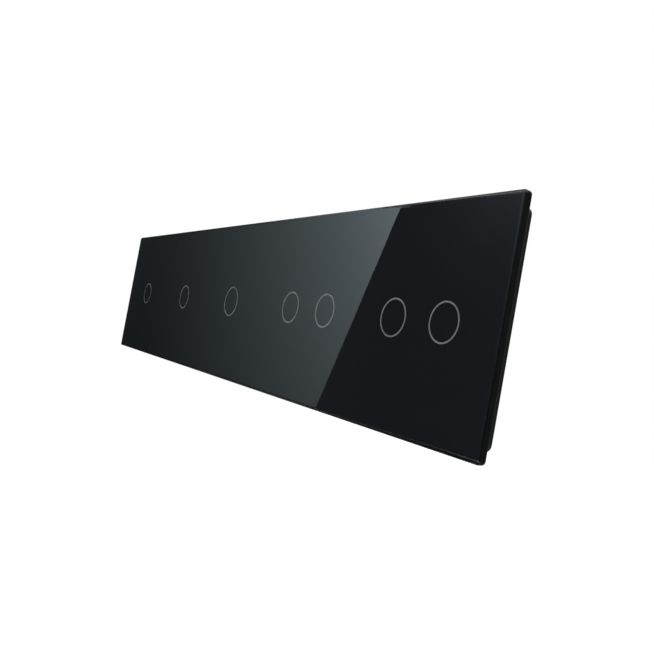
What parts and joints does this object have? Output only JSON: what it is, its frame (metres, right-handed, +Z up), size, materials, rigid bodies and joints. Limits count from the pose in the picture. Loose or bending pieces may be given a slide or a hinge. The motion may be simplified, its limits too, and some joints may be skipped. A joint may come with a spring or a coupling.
{
  "type": "glass touch light switch",
  "caption": "Long black glass touch switch panel with thin grey ring keys on a clip-on plastic frame over in-wall relay modules.",
  "frame": {"origin": "centre of the panel on the wall plane, midway between the middle module's two free box-screw slots", "axes": "+X along the panel, +Y into the wall, +Z up; the glass faces -Y"},
  "size_m": [0.364, 0.03, 0.08],
  "materials": {
    "clear_glass": "polished",
    "black_print": "ceramic print",
    "ring_grey": "translucent print",
    "clear_adhesive": "soft",
    "black_plastic": "fine texture",
    "zinc_steel": "zinc plated",
    "cover_black": "fine texture",
    "housing_grey": "fine texture",
    "board_green": "solder mask",
    "chip_black": "moulded",
    "guide_clear": "translucent",
    "pad_carbon": "conductive",
    "lamp_white": "clear resin",
    "pin_gold": "plated",
    "relay_blue": "moulded",
    "relay_base_black": "moulded",
    "soft_iron": "plated",
    "copper_winding": "enamelled wire",
    "contact_silver": "polished",
    "capacitor_yellow": "epoxy",
    "can_sleeve": "shrink sleeve",
    "ferrite": "sintered",
    "fuse_ceramic": "glazed",
    "terminal_grey": "moulded",
    "terminal_brass": "nickel-free",
    "screw_steel": "zinc plated"
  },
  "bodies": {
    "wall_side": {"light_guides": "guide_clear", "touch_pads": "pad_carbon", "indicator_leds": "lamp_white", "touch_chips": "chip_black", "header_strips": "chip_black", "header_pins": "pin_gold", "relay_cases": "relay_blue", "relay_bases": "relay_base_black", "relay_yokes": "soft_iron", "relay_coils": "copper_winding", "relay_contacts": "contact_silver", "film_capacitors": "capacitor_yellow", "electrolytic_capacitors": "can_sleeve", "supply_coils": "ferrite", "fuses": "fuse_ceramic", "terminal_blocks": "terminal_grey", "terminal_clamps": "terminal_brass", "terminal_screws": "screw_steel", "box_screws": "screw_steel", "housing_screws": "screw_steel", "mounting_frame_1": "zinc_steel", "front_cover_1": "cover_black", "rear_housing_1": "housing_grey", "touch_board_1": "board_green", "power_board_1": "board_green", "mounting_frame_2": "zinc_steel", "front_cover_2": "cover_black", "rear_housing_2": "housing_grey", "touch_board_2": "board_green", "power_board_2": "board_green", "mounting_frame_3": "zinc_steel", "front_cover_3": "cover_black", "rear_housing_3": "housing_grey", "touch_board_3": "board_green", "power_board_3": "board_green", "mounting_frame_4": "zinc_steel", "front_cover_4": "cover_black", "rear_housing_4": "housing_grey", "touch_board_4": "board_green", "power_board_4": "board_green", "mounting_frame_5": "zinc_steel", "front_cover_5": "cover_black", "rear_housing_5": "housing_grey", "touch_board_5": "board_green", "power_board_5": "board_green"},
    "panel": {"glass_panel": "clear_glass", "black_back_print": "black_print", "ring_print": "ring_grey", "glass_adhesive": "clear_adhesive", "panel_frame": "black_plastic"},
    "relay_armature_1": {"relay_armature_1": "contact_silver"},
    "relay_armature_2": {"relay_armature_2": "contact_silver"},
    "relay_armature_3": {"relay_armature_3": "contact_silver"},
    "relay_armature_4": {"relay_armature_4": "contact_silver"},
    "relay_armature_5": {"relay_armature_5": "contact_silver"},
    "relay_armature_6": {"relay_armature_6": "contact_silver"},
    "relay_armature_7": {"relay_armature_7": "contact_silver"}
  },
  "joints": [
    {"name": "panel_lift_off", "type": "slide", "parent": "wall_side", "child": "panel", "axis": [0, -1, 0], "range_m": [0, 0.03]},
    {"name": "relay_1_armature", "type": "hinge", "parent": "wall_side", "child": "relay_armature_1", "pos_m": [-0.1497, 0.01115, 0.0155], "axis": [0, 0, -1], "range_deg": [0, 3.5], "stiffness_Nm_per_rad": 0.002, "springref_deg": -2.86},
    {"name": "relay_2_armature", "type": "hinge", "parent": "wall_side", "child": "relay_armature_2", "pos_m": [-0.0787, 0.01115, 0.0155], "axis": [0, 0, -1], "range_deg": [0, 3.5], "stiffness_Nm_per_rad": 0.002, "springref_deg": -2.86},
    {"name": "relay_3_armature", "type": "hinge", "parent": "wall_side", "child": "relay_armature_3", "pos_m": [-0.0077, 0.01115, 0.0155], "axis": [0, 0, -1], "range_deg": [0, 3.5], "stiffness_Nm_per_rad": 0.002, "springref_deg": -2.86},
    {"name": "relay_4_armature", "type": "hinge", "parent": "wall_side", "child": "relay_armature_4", "pos_m": [0.0633, 0.01115, 0.0155], "axis": [0, 0, -1], "range_deg": [0, 3.5], "stiffness_Nm_per_rad": 0.002, "springref_deg": -2.86},
    {"name": "relay_5_armature", "type": "hinge", "parent": "wall_side", "child": "relay_armature_5", "pos_m": [0.0633, 0.01115, 0.004], "axis": [0, 0, -1], "range_deg": [0, 3.5], "stiffness_Nm_per_rad": 0.002, "springref_deg": -2.86},
    {"name": "relay_6_armature", "type": "hinge", "parent": "wall_side", "child": "relay_armature_6", "pos_m": [0.1343, 0.01115, 0.0155], "axis": [0, 0, -1], "range_deg": [0, 3.5], "stiffness_Nm_per_rad": 0.002, "springref_deg": -2.86},
    {"name": "relay_7_armature", "type": "hinge", "parent": "wall_side", "child": "relay_armature_7", "pos_m": [0.1343, 0.01115, 0.004], "axis": [0, 0, -1], "range_deg": [0, 3.5], "stiffness_Nm_per_rad": 0.002, "springref_deg": -2.86}
  ]
}
